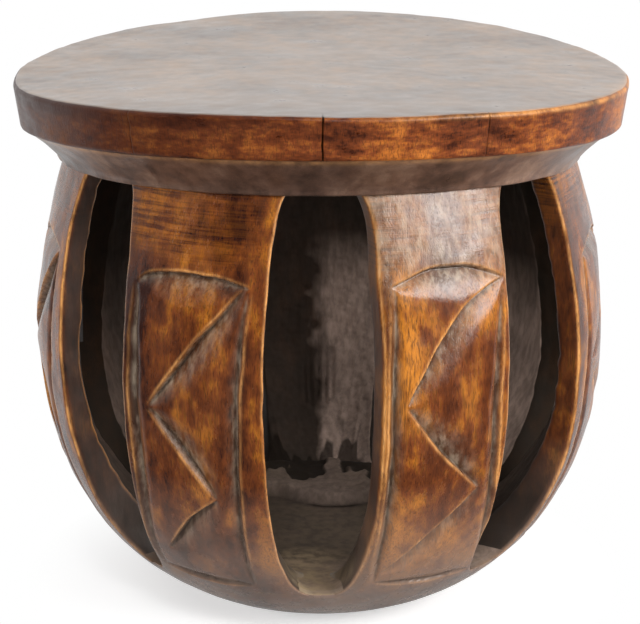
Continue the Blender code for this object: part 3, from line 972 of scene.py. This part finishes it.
class Bench:
    """A node tree to work on, with short words for the nodes that are needed here."""

    def __init__(self, owner):
        owner.use_nodes = True
        self.tree = owner.node_tree

    def plug(self, value, socket):
        """Link an output to a socket, or set a number, a colour or a vector on it."""
        if isinstance(value, bpy.types.NodeSocket):
            self.tree.links.new(value, socket)
        else:
            socket.default_value = (*value, 1) if socket.type == "RGBA" else value

    def add(self, kind, inputs=(), **settings):
        """The outputs of a new node, with some of its inputs plugged by name or number."""
        made = self.tree.nodes.new("ShaderNode" + kind)
        for key, value in settings.items():
            setattr(made, key, value)
        for key, value in dict(inputs).items():
            self.plug(value, made.inputs[key])
        return made.outputs

    def stored(self, name):
        """A value kept on the points of a piece."""
        return self.add("Attribute", attribute_name=name)["Fac"]

    def window(self, value, low, high, to_low=0.0, to_high=1.0):
        """A value moved from one range to another and held inside it."""
        return self.add("MapRange", {"Value": value, "From Min": low, "From Max": high,
                                     "To Min": to_low, "To Max": to_high})["Result"]

    def maths(self, operation, a, b):
        """Two values put together by an operation, and held between 0 and 1."""
        return self.add("Math", {0: a, 1: b}, operation=operation, use_clamp=True)["Value"]

    times = partialmethod(maths, "MULTIPLY")
    plus = partialmethod(maths, "ADD")
    less = partialmethod(maths, "SUBTRACT")

    def blend(self, amount, a, b):
        """Colour a turned by an amount into colour b."""
        inputs = {0: amount, MIX_COLOUR_A: a, MIX_COLOUR_B: b}
        return self.add("Mix", inputs, data_type="RGBA")[MIX_COLOUR_OUT]

    def either(self, amount, a, b):
        """Shader a turned by an amount into shader b."""
        return self.add("MixShader", {0: amount, 1: a, 2: b})["Shader"]


# %% Grain of the wood
def grain_fields(bench, streak, band):
    """The noises that a finish is mixed from, and the height above the ground."""
    where = bench.add("TexCoord")["Object"]

    def noise(scale, upright, detail, roughness=0.6):
        stretched = bench.add("Mapping", {"Vector": where, "Scale": (1, 1, upright)})["Vector"]
        settings = {"Vector": stretched, "Scale": scale, "Detail": detail, "Roughness": roughness}
        return bench.add("TexNoise", settings)["Fac"]

    return SimpleNamespace(
        height=bench.add("SeparateXYZ", {"Vector": where})["Z"],
        mottle=noise(17, 0.6, 4.0, 0.55), patches=noise(52, band, 5.0), specks=noise(260, 0.3, 3.0),
        blotches=noise(130, 1.25 * band, 3.0, 0.55), fibres=noise(900, streak, 3.0),
        pores=bench.window(noise(1400, 0.12, 1.0), 0.57, 0.68),
        scrapes=bench.window(noise(26, 22, 4.0), 0.42, 0.60))


def mixed_tone(bench, at, grain):
    """How light the stained timber is: 0 dark, 1 amber; rubbing and painted light raise it."""
    tone = bench.times(at.mottle, 0.34)
    for field, share in ((at.patches, 0.26), (at.blotches, 0.20), (at.fibres, 0.20 * grain)):
        tone = bench.plus(tone, bench.times(field, share))
    middle = 0.40 + 0.10 * grain
    tone = bench.window(tone, middle - 0.075, middle + 0.085)
    # Rubbing and painted light raise the tone.
    return bench.plus(tone, bench.times(bench.stored("rubbed"), 0.26))


# %% Layers of colour
# Wax bloom colours, also standing in for painted sheen (pale) and painted shade (dark).
WORN, BLOOM, BLOOM_DARK = (0.740, 0.345, 0.105), (0.300, 0.230, 0.165), (0.090, 0.056, 0.034)
# Inside colours: near-black painted shade and pale painted light.
INSIDE_DARK, INSIDE_BARE = (0.012, 0.009, 0.006), (0.490, 0.356, 0.290)
# A painted reflection of the floor low on the base, dusty colour with painted light on the sills, and black
# painted shade in cracks and cuts.
FOOT_BROWN, SILL_TAN, CRACK_BLACK = (0.240, 0.183, 0.152), (0.470, 0.345, 0.210), (0.008, 0.005, 0.003)
FOOT_LOW, FOOT_HIGH = 0.030, 0.128


def layers(bench, at, dark, planed, grain):
    """What lies over the stained timber, from the bottom up: how much of it, and its colour."""
    times, window, blend, stored = bench.times, bench.window, bench.blend, bench.stored
    runs = times(window(at.patches, 0.40, 0.56, 0.35, 1.0), window(at.specks, 0.36, 0.56, 0.55, 1.0))
    smoked = times(window(at.patches, 0.35, 0.65, 0.65, 1.0), window(at.specks, 0.38, 0.60, 0.7, 1.0))
    # Greyer towards the ground: a painted reflection of the white floor.
    foot = times(window(at.height, FOOT_LOW, FOOT_HIGH, 0.9, 0.0), window(at.mottle, 0.35, 0.6, 0.6, 1.0))
    return (
        (window(at.fibres, 0.48, 0.62, 0.0, 0.62 * grain), dark),
        # Stains, with painted shade on the seat rim's left and on the collar's front.
        (stored("stain"), dark),
        (times(at.scraped, 0.60), blend(at.scrapes, planed, dark)),
        (times(stored("wear"), runs), WORN),
        (times(at.pores, 0.5 * grain), dark),
        # Grey wax in cuts, with painted sheen and painted shade mixed in.
        (at.misted, blend(window(at.specks, 0.40, 0.60), BLOOM_DARK, BLOOM)),
        (foot, FOOT_BROWN),
        # Inner faces, from painted shade to painted light, broken up at random.
        (times(stored("inside"), 0.95), blend(times(stored("raw"), smoked), INSIDE_DARK, INSIDE_BARE)),
        # Sills: dusty colour mixed with painted light.
        (times(stored("tan"), window(at.blotches, 0.36, 0.62, 0.35, 1.0)), SILL_TAN),
        # Cracks, pits and bottoms of cuts, painted black as shade.
        (stored("crack"), CRACK_BLACK),
    )


# %% Recipe for the wood
SCRAPE_START, SCRAPE_FULL = 0.255, 0.272
BUMP_STRENGTH, BUMP_HEIGHT = 0.28, 0.0007
COAT_ROUGHNESS = 0.28


def wood(name, dark, brown, amber, rough, coat=0.0, shine=0.5, grain=1.0, scrape=0.0, streak=0.09, band=0.4):
    """A waxed wood: three tones, how rough and shiny it is, and how grain and patches run."""
    material = bpy.data.materials.new(name)
    bench = Bench(material)
    times, plus, less, window, blend = bench.times, bench.plus, bench.less, bench.window, bench.blend
    at = grain_fields(bench, streak, band)
    at.misted = times(bench.stored("dust"), window(at.blotches, 0.34, 0.64, 0.35, 0.90))
    at.scraped = times(window(at.height, SCRAPE_START, SCRAPE_FULL, 0.0, scrape),
                       window(at.mottle, 0.42, 0.58, 0.2, 1.0))
    tone = mixed_tone(bench, at, grain)
    colour = blend(window(tone, 0.0, 0.5), dark, brown)
    colour = blend(window(tone, 0.5, 1.0), colour, amber)
    planed = tuple((low + high) / 2 for low, high in zip(brown, amber))
    for amount, over in layers(bench, at, dark, planed, grain):
        colour = blend(amount, colour, over)

    uneven = plus(window(at.patches, 0.3, 0.7, rough - 0.09, rough + 0.11), times(at.misted, 0.05))
    relief = less(plus(times(at.fibres, 0.5), times(at.specks, 0.5)), times(at.pores, 0.25))
    relief = less(relief, times(times(at.scraped, at.scrapes), 0.3))
    raised = bench.add("Bump", {"Strength": BUMP_STRENGTH, "Distance": BUMP_HEIGHT, "Height": relief})
    surface = {
        "Base Color": colour, "Roughness": plus(uneven, times(bench.stored("inside"), 0.25)),
        "Normal": raised["Normal"], "Coat Weight": coat, "Coat Roughness": COAT_ROUGHNESS,
        "Specular IOR Level": shine,
    }
    for key, value in surface.items():
        bench.plug(value, bench.tree.nodes["Principled BSDF"].inputs[key])
    return material


# %% [markdown]
# ## Finishes
# The seat's top is brown and polished, ribs and base are redder and darker, the collar is dull. Some faces
# carry a second finish: the seat's red rim, and the rough inside of ribs and base. They could be pieces of
# their own, but a second material is enough.

# %% Finish of each piece
RIB_TONES = ((0.026, 0.006, 0.003), (0.165, 0.040, 0.007), (0.490, 0.165, 0.010))
SEAT_TONES = ((0.075, 0.036, 0.016), (0.180, 0.102, 0.054), (0.290, 0.170, 0.090))
RIM_TONES = ((0.036, 0.008, 0.003), (0.185, 0.042, 0.008), (0.480, 0.145, 0.016))
COLLAR_TONES = ((0.045, 0.022, 0.014), (0.148, 0.074, 0.046), (0.275, 0.160, 0.104))
INSIDE_TONES = ((0.026, 0.007, 0.003), (0.150, 0.042, 0.011), (0.430, 0.130, 0.022))
FINISHES = {
    "seat_wood": (SEAT_TONES, {"rough": 0.36, "coat": 0.62, "grain": 0.3}),
    "seat_rim": (RIM_TONES, {"rough": 0.36, "shine": 0.25, "grain": 0.95, "streak": 0.25, "band": 2.2}),
    "collar_wood": (COLLAR_TONES, {"rough": 0.36, "grain": 0.6}),
    "inside_wood": (INSIDE_TONES, {"rough": 0.60, "shine": 0.12}),
    "rib_wood": (RIB_TONES, {"rough": 0.26, "scrape": 1.0}),
    "base_wood": (RIB_TONES, {"rough": 0.26, "scrape": 1.0}),
}
finishes = {name: wood(name, *three, **settings) for name, (three, settings) in FINISHES.items()}
print("finishes:", ", ".join(finishes))

# %% Dress the pieces
SMOOTH_ANGLE = 40
INSIDE_FROM = 0.97
SLOTS = {"seat_disc": "seat_wood", "collar_ring": "collar_wood", "base_bowl": "base_wood"}


def second_finish(piece, name, chosen):
    """Give another finish to the faces whose corners are all among the chosen points."""
    piece.data.materials.append(finishes[name])
    for face in piece.data.polygons:
        face.material_index = int(chosen[list(face.vertices)].all())


for piece in (seat, collar, base):
    start_fresh()
    piece.select_set(True)
    bpy.context.view_layer.objects.active = piece
    bpy.ops.object.shade_smooth_by_angle(angle=math.radians(SMOOTH_ANGLE))
nodes = {"seat_disc": seat, "collar_ring": collar, "base_bowl": base}
nodes.update({"rib_" + name: rib for name, rib in zip(RIB_NAMES, ribs)})
for node, piece in nodes.items():
    start_fresh()
    slot = SLOTS.get(node, "rib_wood")
    piece.name = "dressed_" + node
    piece.data.materials.clear()
    piece.data.materials.append(finishes[slot])
    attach(piece, "root")
    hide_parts(node)
second_finish(seat, "seat_rim", on_rim)
for piece in ribs + [base]:
    inside = np.empty(len(piece.data.vertices), np.float32)
    piece.data.attributes["inside"].data.foreach_get("value", inside)
    second_finish(piece, "inside_wood", inside > INSIDE_FROM)
print("dressed", len(nodes), "pieces")

# %% [markdown]
# ## Studio
# The stool stands on white paper. A window-like lamp on the right gives the sheen, a weak one on the left
# opens the shadows, and the white surroundings show in the wax. The paper is white to the camera by a faint
# glow of its own, so that no extra light falls on the wood and the shadow stays.

# %% Paper
PAPER_TONE, PAPER_GLOW = (0.75, 0.75, 0.75), 0.52
FADE_START, FADE_END = 0.100, 0.205


def paper_material():
    """White paper that takes the stool's shadow and is plain white further away."""
    material = bpy.data.materials.new("white_paper")
    bench = Bench(material)
    bench.tree.nodes.clear()
    where, rays = bench.add("TexCoord")["Object"], bench.add("LightPath")
    shade = bench.add("BsdfDiffuse", {"Color": PAPER_TONE})["BSDF"]
    glow = bench.add("Emission", {"Strength": PAPER_GLOW})["Emission"]
    lifted = bench.add("AddShader", {0: shade, 1: glow})["Shader"]
    distance = bench.add("VectorMath", {0: where}, operation="LENGTH")["Value"]
    white = bench.add("Emission")["Emission"]
    seen = bench.either(bench.window(distance, FADE_START, FADE_END), lifted, white)
    behind = bench.window(bench.add("SeparateXYZ", {"Vector": where})["Y"], -0.2, 0.2, 0.10, 1.0)
    mirrored = bench.add("Emission", {"Strength": behind})["Emission"]
    in_wax = bench.either(rays["Is Glossy Ray"], shade, mirrored)
    bench.add("OutputMaterial", {"Surface": bench.either(rays["Is Camera Ray"], in_wax, seen)})
    return material


start_fresh()
bpy.ops.mesh.primitive_plane_add(size=30, location=(0, 0, -0.0002))
paper = bpy.context.object
paper.name = "paper_floor"
paper.data.materials.append(paper_material())

# %% Lamps
AIM = np.array([0, 0, 0.2])


def lamp(name, angle, elevation, distance, size, power):
    """A soft lamp that faces the stool, at an angle from the front and an elevation."""
    a, e = math.radians(angle), math.radians(elevation)
    spot = AIM + distance * np.array([math.sin(a) * math.cos(e), -math.cos(a) * math.cos(e), math.sin(e)])
    bpy.ops.object.light_add(type="AREA", location=spot, rotation=(math.radians(90) - e, 0, a))
    made = bpy.context.object
    made.name = name
    made.data.shape = "RECTANGLE"
    made.data.size, made.data.size_y = size
    made.data.energy = power
    return made


lamp("window_right", 54, 23, 1.7, (1.25, 0.70), 33)
lamp("window_left", -56, 15, 1.7, (0.5, 0.5), 10).visible_glossy = False
lamp("front_fill", 0, 42, 1.9, (0.35, 0.35), 11)
lamp("overhead_back", 165, 60, 1.8, (1.2, 1.2), 6)

# %% Surroundings
AMBIENT = 0.22

world = bpy.data.worlds.new("white_studio")
bpy.context.scene.world = world
bench = Bench(world)
bench.tree.nodes.clear()
rays, where = bench.add("LightPath"), bench.add("TexCoord")["Generated"]
ambient = bench.add("Background", {"Color": (1, 1, 1), "Strength": AMBIENT})["Background"]
ahead = bench.window(bench.add("SeparateXYZ", {"Vector": where})["Y"], -0.5, 0.25, 0.06, 1.27)
mirrored = bench.add("Background", {"Strength": ahead})["Background"]
backdrop = bench.add("Background")["Background"]
shiny = bench.maths("MAXIMUM", rays["Is Glossy Ray"], rays["Is Transmission Ray"])
in_wax = bench.either(shiny, ambient, mirrored)
bench.add("OutputWorld", {"Surface": bench.either(rays["Is Camera Ray"], in_wax, backdrop)})

# %% Camera
CAMERA_PLACE = (0, -1.320, 0.559)
CAMERA_PITCH = 15.76
CAMERA_LENS, CAMERA_SENSOR = 113.6, 36
bpy.ops.object.camera_add(location=CAMERA_PLACE, rotation=(math.radians(90 - CAMERA_PITCH), 0, 0))
camera = bpy.context.object
camera.data.lens = CAMERA_LENS
camera.data.sensor_width = CAMERA_SENSOR
bpy.context.scene.camera = camera
bpy.context.scene.view_settings.view_transform = "Standard"
